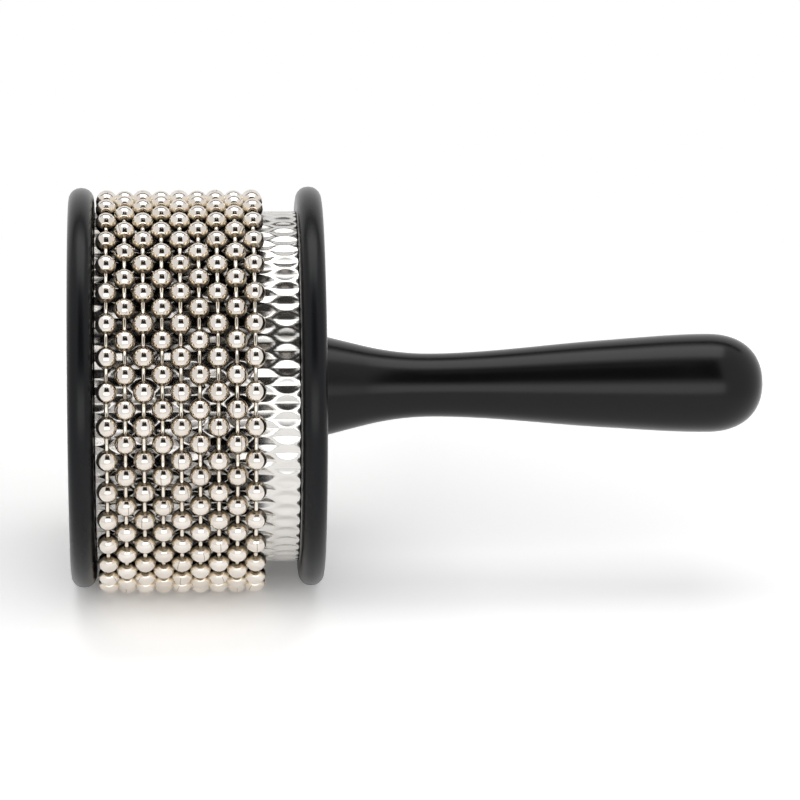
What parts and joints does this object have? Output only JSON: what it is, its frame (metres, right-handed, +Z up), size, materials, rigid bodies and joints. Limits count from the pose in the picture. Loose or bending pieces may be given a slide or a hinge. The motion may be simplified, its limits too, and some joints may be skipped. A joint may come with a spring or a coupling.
{
  "type": "cabasa",
  "caption": "Hand percussion instrument: a drum wrapped in embossed steel between two end discs, with loose loops of ball chain that scrape round it, on a turned handle.",
  "frame": {"origin": "on the surface that the lowest beads touch, below the middle of the whole length", "axes": "+X along the drum and handle, towards the handle's end; +Z up; the picture looks along +Y"},
  "size_m": [0.1982, 0.1156, 0.1163],
  "materials": {
    "lacquered_wood": "turned wood under satin black lacquer",
    "disc_lacquer": "turned wood under semi-gloss black lacquer",
    "core_wood": "bare turned wood",
    "embossed_stainless": "bright rolled stainless sheet, embossed with staggered lens bosses",
    "bead_plating": "bright nickel plating on steel",
    "zinc_steel": "bright zinc plating on steel",
    "brass_bush": "machined brass"
  },
  "bodies": {
    "drum": {"handle": "lacquered_wood", "handle_insert": "brass_bush", "handle_side_disc": "disc_lacquer", "far_disc": "disc_lacquer", "core": "core_wood", "steel_wrap": "embossed_stainless", "seam_tacks": "zinc_steel", "through_bolt": "zinc_steel", "bolt_washer": "zinc_steel"},
    "bead_loop_1": {"loop_1_beads": "bead_plating", "loop_1_links": "bead_plating"},
    "bead_loop_2": {"loop_2_beads": "bead_plating", "loop_2_links": "bead_plating"},
    "bead_loop_3": {"loop_3_beads": "bead_plating", "loop_3_links": "bead_plating"},
    "bead_loop_4": {"loop_4_beads": "bead_plating", "loop_4_links": "bead_plating"},
    "bead_loop_5": {"loop_5_beads": "bead_plating", "loop_5_links": "bead_plating"},
    "bead_loop_6": {"loop_6_beads": "bead_plating", "loop_6_links": "bead_plating"},
    "bead_loop_7": {"loop_7_beads": "bead_plating", "loop_7_links": "bead_plating"},
    "bead_loop_8": {"loop_8_beads": "bead_plating", "loop_8_links": "bead_plating"},
    "bead_loop_9": {"loop_9_beads": "bead_plating", "loop_9_links": "bead_plating"}
  },
  "joints": [
    {"name": "loops_turn", "type": "hinge", "parent": "drum", "child": "bead_loop_1", "pos_m": [0, 0, 0.0578], "axis": [1, 0, 0], "continuous": true},
    {"name": "loop_2_shift", "type": "slide", "parent": "bead_loop_1", "child": "bead_loop_2", "axis": [1, 0, 0], "range_m": [-0.0012, 0.0011]},
    {"name": "loop_3_shift", "type": "slide", "parent": "bead_loop_2", "child": "bead_loop_3", "axis": [1, 0, 0], "range_m": [-0.0012, 0.0011]},
    {"name": "loop_4_shift", "type": "slide", "parent": "bead_loop_3", "child": "bead_loop_4", "axis": [1, 0, 0], "range_m": [-0.0012, 0.0011]},
    {"name": "loop_5_shift", "type": "slide", "parent": "bead_loop_4", "child": "bead_loop_5", "axis": [1, 0, 0], "range_m": [-0.0012, 0.0011]},
    {"name": "loop_6_shift", "type": "slide", "parent": "bead_loop_5", "child": "bead_loop_6", "axis": [1, 0, 0], "range_m": [-0.0012, 0.0011]},
    {"name": "loop_7_shift", "type": "slide", "parent": "bead_loop_6", "child": "bead_loop_7", "axis": [1, 0, 0], "range_m": [-0.0012, 0.0011]},
    {"name": "loop_8_shift", "type": "slide", "parent": "bead_loop_7", "child": "bead_loop_8", "axis": [1, 0, 0], "range_m": [-0.0012, 0.0011]},
    {"name": "loop_9_shift", "type": "slide", "parent": "bead_loop_8", "child": "bead_loop_9", "axis": [1, 0, 0], "range_m": [-0.0012, 0.0011]}
  ]
}
